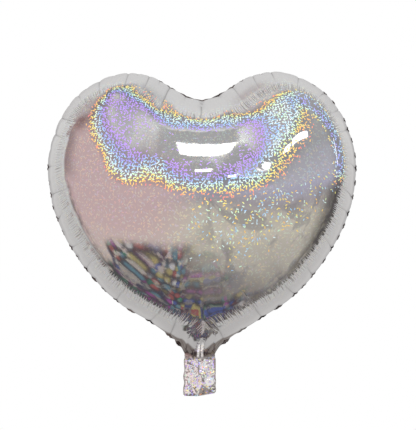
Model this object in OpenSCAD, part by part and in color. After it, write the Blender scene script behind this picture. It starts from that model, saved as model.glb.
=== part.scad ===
// Heart-shaped foil balloon, inflated: two metallised film panels heat-sealed together
// round a heart-shaped rim, with a self-sealing film valve held in the neck weld and an
// open tail (the inflation sleeve) that folds fore and aft at its crease.
// Frame: millimetres, +Z up, front panel faces -Y, origin at the tail's fold crease,
// which is where a ribbon is tied.

/* [Heart] */
// Width of the inflated heart over its welded flange
heart_w = 360; // [300:5:420]
// Depth of the inflated heart from front to back
heart_d = 202; // [160:2:230]
// Thickness of each film panel
film_t = 0.5; // [0.3:0.1:0.8]
// Width of the heat-sealed flange round the rim
flange_w = 5; // [3:0.5:7]
// Width of the heart's neck where the tail folds
neck_w = 35; // [30:1:40]
// Thickness of the fused sealant between the two panels
seal_t = 0.6; // [0.6:0.1:1]

/* [Tail] */
// Length of the tail below its crease
tail_len = 45; // [35:1:60]
// Width of the tail
tail_w = 36; // [32:1:40]
// Width of the weld along each long edge of the tail
tail_weld_w = 4; // [3:0.5:5]
// How far the tail's mouth gapes at its middle
mouth_gap = 10; // [8:0.5:12]

/* [Valve] */
// Width of the self-sealing valve
valve_w = 22; // [18:1:24]
// Length of the valve from the neck weld to its free end inside the heart
valve_len = 95; // [60:5:120]
// Thickness of each valve film
valve_t = 0.15; // [0.1:0.01:0.2]
// Width of the weld along each long edge of the valve
valve_weld_w = 3; // [2:0.5:4]
// Length of the heat-resistant print that keeps the valve's inlet open
print_len = 12; // [8:1:20]

/* [Hidden] */

k = heart_w / 360;            // scale of the outline below
crease_gap = 1.2;             // clearance above and below the fold crease
z0 = crease_gap;              // bottom edge of the heart's neck
hs = seal_t / 2;              // half the sealant's thickness
valve_gap = 0.1;              // space between the two valve films

// Right half of a 360 mm heart's outline [x, height above the neck's bottom edge],
// from the neck up round the lobe to the cleft
right_half = [[0, 0], [21, 6], [30, 15], [41, 24], [68, 42], [97, 61], [126, 88],
              [153, 126], [171, 163], [179, 199], [180, 227], [174, 256], [163, 281],
              [146, 304], [125, 319.5], [104, 328], [84, 331], [62, 328], [45, 321],
              [28, 311], [14, 303.5], [0, 300.5]];
knots = [for (i = [0 : len(right_half) - 1]) i == 0 ? [neck_w / 2, 0] : right_half[i] * k];

function spline(p, i, t) =
    let (a = p[max(i - 1, 0)], b = p[i], c = p[i + 1], d = p[min(i + 2, len(p) - 1)])
    0.5 * (2 * b + (c - a) * t + (2 * a - 5 * b + 4 * c - d) * t * t
           + (3 * b - a - 3 * c + d) * t * t * t);
function half_curve(p, n) =
    [for (i = [0 : len(p) - 2]) for (j = [0 : n - 1]) spline(p, i, j / n)];

rh = half_curve(knots, 2);                            // neck corner up to just before the cleft
cleft = knots[len(knots) - 1];
rim = [for (q = concat([[0, 0], [valve_w / 2, 0]], rh, [cleft],
                       [for (i = [len(rh) - 1 : -1 : 0]) [-rh[i][0], rh[i][1]]],
                       [[-valve_w / 2, 0]])) [q[0], z0 + q[1]]];
nr = len(rim);
function unit(v) = v / norm(v);
// Mitred inward offset of point i of an anticlockwise loop
function inset(p, i, d) =
    let (n = len(p), e0 = unit(p[i] - p[(i + n - 1) % n]), e1 = unit(p[(i + 1) % n] - p[i]),
         n0 = [-e0[1], e0[0]], n1 = [-e1[1], e1[0]], m = unit(n0 + n1))
    p[i] + m * d / (m * n0);
foot_out = [for (i = [0 : nr - 1]) inset(rim, i, flange_w)];
foot_in = [for (i = [0 : nr - 1]) inset(rim, i, flange_w + film_t)];

apex = [0, z0 + 214 * k];                             // where the dome is deepest
rho = [1, 0.985, 0.96, 0.92, 0.86, 0.78, 0.68, 0.55, 0.4, 0.2];
// Share of the full depth at share r of the way from the apex to a rim point q:
// an ellipse, which thins to a narrow spout towards the neck
function share(r, q) =
    let (v = q - apex, f = atan2(v[1], v[0]), g = exp(-pow((f + 90) / 16, 2)))
    r >= 1 ? 0 : sqrt(1 - r * r) * (1 - 0.5 * g * pow(r, 1.5));
half_rise = heart_d / 2 - hs - film_t;

// One ring of a dome skin: base plane y0, on foot loop f
function dome_ring(f, r, y0) =
    [for (i = [0 : nr - 1]) let (q = apex + (f[i] - apex) * r)
        [q[0], y0 + half_rise * share(r, f[i]), q[1]]];
function flat_ring(f, y) = [for (q = f) [q[0], y, q[1]]];

// A film panel facing +Y: dome skin, flange, and the inner skin back to the apex
module panel() {
    rings = concat([for (j = [len(rho) - 1 : -1 : 0]) dome_ring(foot_out, rho[j], hs + film_t)],
                   [flat_ring(rim, hs + film_t), flat_ring(rim, hs)],
                   [for (j = [0 : len(rho) - 1]) dome_ring(foot_in, rho[j], hs)]);
    m = len(rings);
    pts = concat([[apex[0], hs + film_t + half_rise, apex[1]]], [for (r = rings) each r],
                 [[apex[0], hs + half_rise, apex[1]]]);
    last = len(pts) - 1;
    faces = concat(
        [for (i = [0 : nr - 1]) [0, 1 + i, 1 + (i + 1) % nr]],
        [for (j = [0 : m - 2]) for (i = [0 : nr - 1])
            let (a = 1 + j * nr + i, b = 1 + j * nr + (i + 1) % nr, c = a + nr, d = b + nr)
            each [[a, c, b], [b, c, d]]],
        [for (i = [0 : nr - 1]) [last, 1 + (m - 1) * nr + (i + 1) % nr, 1 + (m - 1) * nr + i]]);
    polyhedron(pts, faces);
}

// The tail's sleeve wall facing +Y: flat along both welds and gaping towards the mouth
tx = concat([-tail_w / 2], [for (i = [0 : 10]) (tail_w / 2 - tail_weld_w) * (i / 5 - 1)], [tail_w / 2]);
tz = [for (j = [0 : 7]) -crease_gap - (tail_len - crease_gap) * j / 7];
function gape(x, z) =
    let (u = x / (tail_w / 2 - tail_weld_w), s = (-z - crease_gap) / (tail_len - crease_gap))
    abs(u) >= 1 ? 0 : (mouth_gap / 2 - hs) * pow(s, 0.8) * (1 - u * u);
module sleeve_wall() {
    nx = len(tx);
    nz = len(tz);
    side = [for (off = [hs + film_t, hs]) for (z = tz) for (x = tx) [x, off + gape(x, z), z]];
    function at(s, j, i) = (s * nz + j) * nx + i;
    faces = concat(
        [for (j = [0 : nz - 2]) for (i = [0 : nx - 2])
            each [[at(0, j, i), at(0, j, i + 1), at(0, j + 1, i)],
                  [at(0, j, i + 1), at(0, j + 1, i + 1), at(0, j + 1, i)]]],
        [for (j = [0 : nz - 2]) for (i = [0 : nx - 2])
            each [[at(1, j, i), at(1, j + 1, i), at(1, j, i + 1)],
                  [at(1, j, i + 1), at(1, j + 1, i), at(1, j + 1, i + 1)]]],
        [for (i = [0 : nx - 2]) each [[at(0, 0, i), at(1, 0, i), at(0, 0, i + 1)],
                                      [at(0, 0, i + 1), at(1, 0, i), at(1, 0, i + 1)]]],
        [for (i = [0 : nx - 2]) each [[at(0, nz - 1, i), at(0, nz - 1, i + 1), at(1, nz - 1, i)],
                                      [at(0, nz - 1, i + 1), at(1, nz - 1, i + 1), at(1, nz - 1, i)]]],
        [for (j = [0 : nz - 2]) each [[at(0, j, 0), at(0, j + 1, 0), at(1, j, 0)],
                                      [at(0, j + 1, 0), at(1, j + 1, 0), at(1, j, 0)]]],
        [for (j = [0 : nz - 2]) each [[at(0, j, nx - 1), at(1, j, nx - 1), at(0, j + 1, nx - 1)],
                                      [at(0, j + 1, nx - 1), at(1, j, nx - 1), at(1, j + 1, nx - 1)]]]);
    polyhedron(side, faces);
}

// A slab centred on x = 0, from y0 to y1 and from za up to zb
module slab(w, y0, y1, za, zb) {
    translate([-w / 2, y0, za]) cube([w, y1 - y0, zb - za]);
}

module front_film() { color("silver") mirror([0, 1, 0]) panel(); }
module back_film() { color("silver") panel(); }

// The fused band round the whole rim, open only where the valve passes through the neck
module perimeter_seal() {
    outer = [for (i = [1 : nr - 1]) rim[i]];
    inner = [for (i = [nr - 1 : -1 : 1]) foot_out[i]];
    color("gainsboro") rotate([90, 0, 0]) translate([0, 0, -hs]) linear_extrude(seal_t)
        polygon(concat(outer, inner));
}
neck_top = foot_out[0][1];
module neck_seal_front() {
    color("gainsboro") slab(valve_w, -hs, -valve_gap / 2 - valve_t, z0, neck_top);
}
module neck_seal_back() {
    color("gainsboro") slab(valve_w, valve_gap / 2 + valve_t, hs, z0, neck_top);
}
module valve_front_film() {
    color("lightcyan") slab(valve_w, -valve_gap / 2 - valve_t, -valve_gap / 2, z0, z0 + valve_len);
}
module valve_back_film() {
    color("lightcyan") slab(valve_w, valve_gap / 2, valve_gap / 2 + valve_t, z0, z0 + valve_len);
}
module valve_edge_seals() {
    color("aliceblue") for (s = [-1, 1])
        translate([s * (valve_w - valve_weld_w) / 2, 0, 0])
            slab(valve_weld_w, -valve_gap / 2, valve_gap / 2, z0, z0 + valve_len);
}
module valve_release_print() {
    color("cornflowerblue")
        slab(valve_w - 2 * valve_weld_w, 0, valve_gap / 2, z0, z0 + print_len);
}
module tail_front_film() { color("silver") mirror([0, 1, 0]) sleeve_wall(); }
module tail_back_film() { color("silver") sleeve_wall(); }
module tail_edge_seals() {
    color("gainsboro") for (s = [-1, 1])
        translate([s * (tail_w - tail_weld_w) / 2, 0, 0])
            slab(tail_weld_w, -hs, hs, -tail_len, -crease_gap);
}

front_film();
back_film();
perimeter_seal();
neck_seal_front();
neck_seal_back();
valve_front_film();
valve_back_film();
valve_edge_seals();
valve_release_print();
tail_front_film();
tail_back_film();
tail_edge_seals();
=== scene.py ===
"""Heart-shaped foil balloon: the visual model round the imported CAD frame.

The two panels are inflated by a position-based film simulation from their flat cut (film holds its length in tension and
gives way in compression, so it finds the balloon's own shape), smoothed, fitted to the rim's outline, and then creased
and puckered where the weld gathers the film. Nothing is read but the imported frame.
"""

import math
import time

import bpy
import numpy as np
from mathutils import Matrix, Vector, noise
from mathutils.bvhtree import BVHTree
from mathutils.geometry import delaunay_2d_cdt

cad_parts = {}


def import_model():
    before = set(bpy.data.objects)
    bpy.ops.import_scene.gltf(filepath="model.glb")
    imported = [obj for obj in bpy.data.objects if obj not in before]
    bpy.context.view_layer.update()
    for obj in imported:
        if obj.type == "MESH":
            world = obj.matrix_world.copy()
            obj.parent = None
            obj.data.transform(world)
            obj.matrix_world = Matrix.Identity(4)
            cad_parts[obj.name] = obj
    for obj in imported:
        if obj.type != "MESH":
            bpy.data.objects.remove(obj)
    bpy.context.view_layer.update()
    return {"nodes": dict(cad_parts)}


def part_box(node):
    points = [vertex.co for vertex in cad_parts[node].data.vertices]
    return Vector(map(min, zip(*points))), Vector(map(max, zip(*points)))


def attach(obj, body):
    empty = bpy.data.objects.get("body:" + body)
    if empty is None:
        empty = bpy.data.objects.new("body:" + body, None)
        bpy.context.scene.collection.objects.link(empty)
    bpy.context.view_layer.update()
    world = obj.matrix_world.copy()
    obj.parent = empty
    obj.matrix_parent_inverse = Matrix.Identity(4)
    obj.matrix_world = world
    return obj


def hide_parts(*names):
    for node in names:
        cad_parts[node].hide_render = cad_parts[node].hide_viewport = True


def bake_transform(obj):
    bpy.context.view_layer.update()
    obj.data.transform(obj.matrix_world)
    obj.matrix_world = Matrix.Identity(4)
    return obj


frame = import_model()

# ---------------------------------------------------------------- the film solver
MM = 0.001
TAIL = 45.0
# inflated outline, right half, tail root to cleft (mm)
INFLATED = [(17.5, 0), (22, 8), (30, 16), (41, 25), (68, 43), (97, 61.5), (126, 89), (153, 126.5), (171, 164),
            (179, 200), (180, 228), (173.6, 257), (163, 282), (146, 305), (124, 320.5), (104, 329), (84.5, 332),
            (62, 329), (45, 322), (28, 312), (14, 304.5), (0, 301.3)]
# flat cut of each panel, right half (mm)
CUT = [(17.5, 0), (22, 9), (33, 18), (48, 28.5), (84, 49.5), (121, 71), (157, 103), (191, 147), (214, 191),
       (224, 232), (225, 265), (217, 299), (204, 328), (182.5, 354), (155, 372.5), (130, 382), (105.5, 386),
       (77.5, 382.5), (56, 374.5), (35, 363), (17.5, 354), (0, 350)]


def spline(P, n=16):
    P = np.array(P, float)
    out = []
    m = len(P)
    for i in range(m - 1):
        p0, p1, p2, p3 = P[max(i - 1, 0)], P[i], P[i + 1], P[min(i + 2, m - 1)]
        t = (np.arange(n) / n)[:, None]
        out.append(0.5 * (2 * p1 + (p2 - p0) * t + (2 * p0 - 5 * p1 + 4 * p2 - p3) * t * t
                          + (3 * p1 - p0 - 3 * p2 + p3) * t ** 3))
    out.append(P[-1:])
    return np.vstack(out)


def loop(half, tail=True):
    c = spline(half)
    t = np.array([(18.2, -TAIL)]) if tail else np.zeros((0, 2))
    right = np.vstack([t, c])
    return np.vstack([right, (right[::-1][1:] if True else right) * [-1, 1]])


def resample(C, h, closed):
    D = np.vstack([C, C[:1]]) if closed else C
    L = np.concatenate([[0], np.cumsum(np.linalg.norm(np.diff(D, axis=0), axis=1))])
    n = max(2, int(round(L[-1] / h)))
    s = np.linspace(0, L[-1], n + 1)
    s = s[:-1] if closed else s
    return np.c_[np.interp(s, L, D[:, 0]), np.interp(s, L, D[:, 1])]


def inside(P, poly):
    x, y = P[:, 0], P[:, 1]
    ins = np.zeros(len(P), bool)
    for (x1, y1), (x2, y2) in zip(poly, np.roll(poly, -1, 0)):
        if y1 != y2:
            ins ^= ((y1 > y) != (y2 > y)) & (x < (x2 - x1) * (y - y1) / (y2 - y1) + x1)
    return ins


def near(P, R):
    """distance to a closed polyline and the arc length of the nearest point on it"""
    d = np.full(len(P), 1e9)
    s = np.zeros(len(P))
    at = 0.0
    for a, b in zip(R, np.roll(R, -1, 0)):
        ab = b - a
        l = np.linalg.norm(ab)
        t = np.clip(((P - a) @ ab) / (ab @ ab + 1e-12), 0, 1)
        dd = np.linalg.norm(P - (a + t[:, None] * ab), axis=1)
        m = dd < d
        d[m] = dd[m]
        s[m] = at + t[m] * l
        at += l
    return d, s


def panel(levels, rim_h, seed):
    """flat triangulated panel with its tail: rim points first, then inner points"""
    rng = np.random.default_rng(seed)
    O = loop(CUT)
    side = resample(O, rim_h, False)              # from the tail's right corner round to its left corner
    foot = resample(np.array([O[-1], O[0]]), rim_h, False)[1:-1]
    rim = np.vstack([side, foot])
    ref = np.vstack([resample(O, 5.0, False), [[0, -TAIL]]])
    pts = []
    before = 0.0
    for far, h in levels:
        lo, hi = rim.min(0), rim.max(0)
        xs = np.arange(lo[0], hi[0], h)
        zs = np.arange(lo[1], hi[1], h * math.sqrt(3) / 2)
        X, Z = np.meshgrid(xs, zs)
        X = X + (np.arange(len(zs)) % 2)[:, None] * h / 2
        p = np.c_[X.ravel(), Z.ravel()] + rng.normal(0, h * 0.06, (X.size, 2))
        p = p[inside(p, ref)]
        d, _ = near(p, ref)
        pts.append(p[(d > max(before + h * 0.35, rim_h * 0.7)) & (d <= far)])
        before = far
    pts = np.vstack(pts)
    n = len(rim)
    P = np.vstack([rim, pts])
    v, e, f, ov, oe, of = delaunay_2d_cdt([Vector(p) for p in P], [(i, (i + 1) % n) for i in range(n)], [], 1, 1e-4)
    V = np.array([tuple(q) for q in v])
    F = np.array([tuple(t) for t in f])
    assert len(V) == len(P) and np.abs(V - P).max() < 1e-2, (len(V), len(P))
    V = P
    a, b, c = V[F[:, 0]], V[F[:, 1]], V[F[:, 2]]
    ar = (b[:, 0] - a[:, 0]) * (c[:, 1] - a[:, 1]) - (b[:, 1] - a[:, 1]) * (c[:, 0] - a[:, 0])
    F = np.where(ar[:, None] > 0, F, F[:, ::-1])[np.abs(ar) > 1e-3]
    return V, F, len(side), n


def two_panels(V, F, shared):
    """front panel (faces -Y) and back panel joined along the first `shared` rim points"""
    N = len(V)
    back = np.arange(N)
    back[shared:] = np.arange(N - shared) + N
    flat = np.vstack([V, V[shared:]])
    return flat, np.vstack([F, back[F][:, ::-1]]), back


def unique_edges(F):
    e = np.sort(np.vstack([F[:, [0, 1]], F[:, [1, 2]], F[:, [2, 0]]]), axis=1)
    return np.unique(e, axis=0)


def opposite(F, nv):
    e = np.sort(np.vstack([F[:, [0, 1]], F[:, [1, 2]], F[:, [2, 0]]]), axis=1)
    o = np.concatenate([F[:, 2], F[:, 0], F[:, 1]])
    key = e[:, 0].astype(np.int64) * nv + e[:, 1]
    order = np.argsort(key, kind="stable")
    k, o = key[order], o[order]
    i = np.where(k[1:] == k[:-1])[0]
    return np.c_[o[i], o[i + 1]]


def colours(E, nv):
    rng = np.random.default_rng(5)
    left = np.arange(len(E))
    out = []
    while len(left):
        rest, got = left, []
        used = np.zeros(nv, bool)
        for _ in range(4):
            e = E[rest]
            cand = rest[~(used[e[:, 0]] | used[e[:, 1]])]
            if not len(cand):
                break
            pr = rng.permutation(len(cand))
            best = np.full(nv, len(cand) + 1)
            np.minimum.at(best, E[cand, 0], pr)
            np.minimum.at(best, E[cand, 1], pr)
            w = cand[(best[E[cand, 0]] == pr) & (best[E[cand, 1]] == pr)]
            got.append(w)
            used[E[w].ravel()] = True
            m = np.zeros(len(E), bool)
            m[w] = True
            rest = rest[~m[rest]]
        g = np.concatenate(got)
        out.append(g)
        m = np.zeros(len(E), bool)
        m[g] = True
        left = left[~m[left]]
    return out


class Film:
    """position-based film: edges hold their cut length in tension, and kc of it in compression"""

    def __init__(s, flat, F, free):
        s.nv, s.F = len(flat), F
        s.w = free.astype(np.float32)
        s.E = unique_edges(F)
        s.L = np.linalg.norm(flat[s.E[:, 0]] - flat[s.E[:, 1]], axis=1).astype(np.float32)
        s.ce = [(s.E[c, 0], s.E[c, 1], s.L[c], *s.share(s.E[c])) for c in colours(s.E, s.nv)]
        B = opposite(F, s.nv)
        BL = np.linalg.norm(flat[B[:, 0]] - flat[B[:, 1]], axis=1).astype(np.float32)
        B, BL = B[BL > 1e-3], BL[BL > 1e-3]
        s.cb = [(B[c, 0], B[c, 1], BL[c], *s.share(B[c])) for c in colours(B, s.nv)]
        a, b, c = flat[F[:, 0]], flat[F[:, 1]], flat[F[:, 2]]
        ar = np.abs((b[:, 0] - a[:, 0]) * (c[:, 1] - a[:, 1]) - (b[:, 1] - a[:, 1]) * (c[:, 0] - a[:, 0])) / 2
        s.A = np.bincount(F.ravel(), np.repeat(ar, 3) / 3, s.nv)
        s.A = np.maximum(s.A, np.median(s.A) * 0.2)

    def share(s, e):
        wi, wj = s.w[e[:, 0]], s.w[e[:, 1]]
        t = np.maximum(wi + wj, 1e-6)
        return (wi / t)[:, None], (wj / t)[:, None]

    def normals(s, x):
        f = s.F
        n = np.cross(x[f[:, 1]] - x[f[:, 0]], x[f[:, 2]] - x[f[:, 0]]) / 6
        return np.stack([np.bincount(f.ravel(), np.repeat(n[:, k], 3), s.nv) for k in range(3)], 1)

    def project(s, x, cons, kt, kc):
        for i, j, L0, wi, wj in cons:
            d = x[j] - x[i]
            L = np.sqrt(np.einsum("ij,ij->i", d, d)) + np.float32(1e-6)
            C = 1 - L0 / L
            C *= np.where(C > 0, np.float32(kt), np.float32(kc))
            d *= C[:, None]
            x[i] += wi * d
            x[j] -= wj * d

    def run(s, x, steps, push, iters, kc, kb, damp, v=None, gain=None, log=0):
        x = x.astype(np.float32)
        v = np.zeros_like(x) if v is None else v
        t0 = time.time()
        W = s.w[:, None]
        for it in range(steps):
            q = it / max(1, steps - 1)
            p = push[0] + (push[1] - push[0]) * q
            c = kc[0] + (kc[1] - kc[0]) * q
            n = (s.normals(x) / s.A[:, None]).astype(np.float32)
            if gain is not None:
                n *= gain[:, None]
            x0 = x.copy()
            x += (v * damp + n * np.float32(p)) * W
            for k in range(iters):
                s.project(x, s.ce, 1.0, c)
            if kb:
                s.project(x, s.cb, 0.0, kb)
            v = x - x0
            if log and (it % log == 0 or it == steps - 1):
                L = np.linalg.norm(x[s.E[:, 1]] - x[s.E[:, 0]], axis=1) / s.L
                print(it, "ext", (x.max(0) - x.min(0)).round(1), "stretch", np.percentile(L, [1, 99]).round(3),
                      "t", round(time.time() - t0, 1), flush=True)
        return x, v


def carry(Vc, Fc, x_front, x_back, V):
    """positions of flat points V on both panels of the coarse solution"""
    tree = BVHTree.FromPolygons([(p[0], p[1], 0) for p in Vc], [tuple(map(int, f)) for f in Fc])
    idx = np.zeros(len(V), int)
    w = np.zeros((len(V), 3))
    for k, p in enumerate(V):
        q, _, i, _ = tree.find_nearest((p[0], p[1], 0))
        a, b, c = Vc[Fc[i]]
        m = np.array([[b[0] - a[0], c[0] - a[0]], [b[1] - a[1], c[1] - a[1]]])
        u, t = np.linalg.solve(m, np.array([p[0] - a[0], p[1] - a[1]]))
        idx[k] = i
        w[k] = (1 - u - t, u, t)
    f = Fc[idx]
    return [(X[f] * w[:, :, None]).sum(1) for X in (x_front, x_back)]

ROWS = [(1.4, 1), (3, 1), (5, 1), (7.5, 1), (10, 1), (13, 1), (16, 1), (20, 1), (24, 1), (28, 1), (33, 1), (38, 1),
        (43.5, 2), (49.5, 2), (56, 3), (63, 3)]


def fine_panel(step=1.3, inner=5.0, seed=7):
    """flat panel with closely spaced columns round its rim, to carry creases that run in from the weld"""
    rng = np.random.default_rng(seed)
    O = loop(CUT)
    side = resample(O, step, False)
    foot = resample(np.array([O[-1], O[0]]), step, False)[1:-1]
    rim = np.vstack([side, foot])
    tangent = np.gradient(side, axis=0)
    tangent /= np.linalg.norm(tangent, axis=1)[:, None]
    inward = np.c_[-tangent[:, 1], tangent[:, 0]]
    ref = resample(O, 3.0, False)
    pts = []
    for d, skip in ROWS:
        p = (side + inward * d)[skip // 2::skip]
        true, _ = near(p, np.vstack([ref]))
        ok = (true > d * 0.93 - 0.1) & inside(p, ref) & (p[:, 1] > -TAIL + 0.9)
        pts.append(p[ok])
    lo, hi = rim.min(0), rim.max(0)
    xs = np.arange(lo[0], hi[0], inner)
    zs = np.arange(lo[1], hi[1], inner * math.sqrt(3) / 2)
    X, Z = np.meshgrid(xs, zs)
    X = X + (np.arange(len(zs)) % 2)[:, None] * inner / 2
    p = np.c_[X.ravel(), Z.ravel()] + rng.normal(0, inner * 0.05, (X.size, 2))
    p = p[inside(p, ref)]
    true, _ = near(p, ref)
    pts.append(p[true > ROWS[-1][0] + inner * 0.6])
    pts = np.vstack(pts)
    # drop points that crowd others, where columns meet behind the cleft and in the neck
    grid = {}
    keep = []
    for i, (x, z) in enumerate(pts):
        k = (int(x // 1.0), int(z // 1.0))
        near_ones = [j for a in (-1, 0, 1) for b in (-1, 0, 1) for j in grid.get((k[0] + a, k[1] + b), ())]
        if all((pts[j][0] - x) ** 2 + (pts[j][1] - z) ** 2 > 0.64 for j in near_ones):
            grid.setdefault(k, []).append(i)
            keep.append(i)
    pts = pts[keep]
    n = len(rim)
    P = np.vstack([rim, pts])
    v, e, f, ov, oe, of = delaunay_2d_cdt([Vector(p) for p in P], [(i, (i + 1) % n) for i in range(n)], [], 1, 1e-4)
    assert len(v) == len(P), (len(v), len(P))
    F = np.array([tuple(t) for t in f])
    a, b, c = P[F[:, 0]], P[F[:, 1]], P[F[:, 2]]
    ar = (b[:, 0] - a[:, 0]) * (c[:, 1] - a[:, 1]) - (b[:, 1] - a[:, 1]) * (c[:, 0] - a[:, 0])
    F = np.where(ar[:, None] > 0, F, F[:, ::-1])[np.abs(ar) > 1e-4]
    return P, F, len(side), n


def cot_edges(P, F):
    """edge list with cotangent weights from the flat cut, so that smoothing keeps the cut's own proportions"""
    key, wt = [], []
    nv = len(P)
    for a, b, c in ((0, 1, 2), (1, 2, 0), (2, 0, 1)):
        u, v = P[F[:, a]] - P[F[:, c]], P[F[:, b]] - P[F[:, c]]
        cr = np.abs(u[:, 0] * v[:, 1] - u[:, 1] * v[:, 0])
        wt.append(0.5 * (u * v).sum(1) / np.maximum(cr, 1e-6))
        e = np.sort(F[:, [a, b]], axis=1)
        key.append(e[:, 0].astype(np.int64) * nv + e[:, 1])
    key, wt = np.concatenate(key), np.concatenate(wt)
    k, inv = np.unique(key, return_inverse=True)
    w = np.clip(np.bincount(inv, wt), 0.02, 20)
    return np.c_[k // nv, k % nv], w


def relax(P, F, X, fixed, reach):
    """implicit smoothing of X over the panel with the fixed points held; reach in mm"""
    E, w = cot_edges(P, F)
    nv = len(P)
    a, b, c = P[F[:, 0]], P[F[:, 1]], P[F[:, 2]]
    ar = np.abs((b[:, 0] - a[:, 0]) * (c[:, 1] - a[:, 1]) - (b[:, 1] - a[:, 1]) * (c[:, 0] - a[:, 0])) / 2
    M = np.bincount(F.ravel(), np.repeat(ar, 3) / 3, nv)
    t = reach * reach
    i, j = E[:, 0], E[:, 1]
    free = ~fixed

    def A(x):
        g = w * (x[i] - x[j])
        return (M * x + t * (np.bincount(i, g, nv) - np.bincount(j, g, nv))) * free

    diag = M + t * (np.bincount(i, w, nv) + np.bincount(j, w, nv))
    out = X.copy()
    for k in range(X.shape[1]):
        x = X[:, k].copy()
        r = (M * X[:, k]) * free - A(x)
        z = r / diag
        p = z.copy()
        rz = r @ z
        for _ in range(400):
            Ap = A(p)
            al = rz / (p @ Ap + 1e-30)
            x += al * p
            r -= al * Ap
            z = r / diag
            n = r @ z
            if n < 1e-10 * len(x):
                break
            p = z + (n / rz) * p
            rz = n
        out[:, k] = x
    return out


def curve_smooth(C, sigma, step, hold):
    """Gaussian smoothing along an open curve; hold is 0 where it may move and 1 where it may not"""
    k = int(3 * sigma / step)
    g = np.exp(-0.5 * (np.arange(-k, k + 1) * step / sigma) ** 2)
    g /= g.sum()
    pad = np.vstack([2 * C[0] - C[k:0:-1], C, 2 * C[-1] - C[-2:-k - 2:-1]])
    S = np.stack([np.convolve(pad[:, a], g, "valid") for a in range(C.shape[1])], 1)
    return C * hold[:, None] + S * (1 - hold[:, None])


# ---------------------------------------------------------------- the inflated panels
def inflate():
    """coarse solution: (flat points, triangles, front positions, back positions)"""
    V, F, shared, n = panel([(30, 7.0), (400, 8.0)], 7.0, 1)
    flat, faces, back = two_panels(V, F, shared)
    N = len(V)
    d, _ = near(flat, V[:shared])
    side = np.ones(len(flat))
    side[:N] = -1
    side[:shared] = 0
    tail = flat[:, 1] < 0.5
    u = np.clip(np.abs(flat[:, 0]) / 14, 0, 1)
    gap = 4.0 * np.clip(-flat[:, 1] / TAIL, 0, 1) ** 0.8 * (1 - u * u)
    h = np.sqrt(np.clip(d, 0, 100)) * 1.5 * np.clip(flat[:, 1] / 40, 0, 1)
    x = np.c_[flat[:, 0], side * np.where(tail, gap, h), flat[:, 1]]
    film = Film(flat, faces, ~tail)
    x, v = film.run(x, 87, (0.25, 0.25), 10, (0, 0), 0, 0.92)
    x, v = film.run(x, 87, (0.25, 0.03), 14, (0, 0), 0, 0.9, v=v)
    return V, F, x[:N].astype(float), x[back].astype(float)


t0 = time.time()
Vc, Fc, front_c, back_c = inflate()
print("inflated in", round(time.time() - t0, 1), "s")
P, TRI, SHARED, RIM = fine_panel()
STEP = 1.3
front, rear = carry(Vc, Fc, front_c, back_c, P)
rim = (front[:SHARED] + rear[:SHARED]) / 2
rim = curve_smooth(rim, 14, STEP, np.clip(1 - (P[:SHARED, 1] - 2) / 14, 0, 1))
rim[:, 1] = 0
still = P[:, 1] < 0.5
still[:SHARED] = True
panels = []
for X in (front, rear):
    X = X.copy()
    X[:SHARED] = rim
    taut = relax(P, TRI, X, still, 5.0)
    # the film round the cleft is taut: no folds there but the cleft's own
    calm = relax(P, TRI, taut, still, 17.0)
    deep = near(P, P[:SHARED])[0]
    w = (np.clip((125 - np.hypot(P[:, 0], P[:, 1] - 340)) / 50, 0, 1) * np.clip((deep - 22) / 24, 0, 1))[:, None]
    w = w * w * (3 - 2 * w)
    panels.append(taut * (1 - w) + calm * w)

# fit the rim to the outline (measured over its flange) and the depth to the frame's
FLANGE = 3.2
PIVOT = np.array([0.0, 185.0])
want = resample(loop(INFLATED, tail=False), 2.0, False)
tan = np.gradient(want, axis=0)
tan /= np.linalg.norm(tan, axis=1)[:, None]
want = want + np.c_[-tan[:, 1], tan[:, 0]] * (FLANGE * np.clip(want[:, 1:] / 12, 0, 1))


def polar(q):
    v = q - PIVOT
    return (np.degrees(np.arctan2(v[:, 1], v[:, 0])) + 90) % 360, np.linalg.norm(v, axis=1)


def radius_of(curve):
    f, r = polar(curve)
    order = np.argsort(f)
    f, r = f[order], r[order]
    return lambda a: np.interp(a, f, r, period=360)


heart = rim[:, 2] > 0.3
have_r, want_r = radius_of(rim[heart][:, [0, 2]]), radius_of(want)
mean_f = float(np.mean([want_r(a) / have_r(a) for a in range(20, 341, 5)]))
depth_f = (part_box("back_film")[1].y * 1000 - 1.0) / max(panels[1][:, 1].max(), -panels[0][:, 1].min())
for X in panels:
    up = np.clip(X[:, 2] / 6, 0, 1)
    a, r = polar(X[:, [0, 2]])
    u = np.clip(r / have_r(a), 0, 1.05)
    f = mean_f + (want_r(a) / have_r(a) - mean_f) * u * u
    q = PIVOT + (X[:, [0, 2]] - PIVOT) * f[:, None]
    keep = np.clip(X[:, 2] / 14, 0, 1)
    keep = keep * keep * (3 - 2 * keep)
    X[:, [0, 2]] = X[:, [0, 2]] * (1 - keep[:, None]) + q * keep[:, None]
    X[:, 1] *= 1 + (depth_f - 1) * np.clip(X[:, 2] / 60, 0, 1)


def smooth_step(t):
    t = np.clip(t, 0, 1)
    return t * t * (3 - 2 * t)


# where each point lies on the cut: distance d from the weld, and s along it
D, S = near(P, P[:SHARED])
LEN = STEP * (SHARED - 1)
rim_s = np.concatenate([[0], np.cumsum(np.linalg.norm(np.diff(P[:SHARED], axis=0), axis=1))])
rim_z = P[:SHARED, 1]
s_lo = float(np.interp(9, rim_z[: SHARED // 2], rim_s[: SHARED // 2]))      # first place on the heart's own rim
s_hi = rim_s[-1] - s_lo
s_mid = rim_s[-1] / 2                                                       # the cleft

rng = np.random.default_rng(11)


def places(lo, hi, pitch, jitter):
    n = max(1, int(round((hi - lo) / pitch)))
    e = np.linspace(lo, hi, n + 1)[:-1] + (hi - lo) / n / 2
    return e + rng.uniform(-jitter, jitter, n) * (hi - lo) / n


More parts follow.
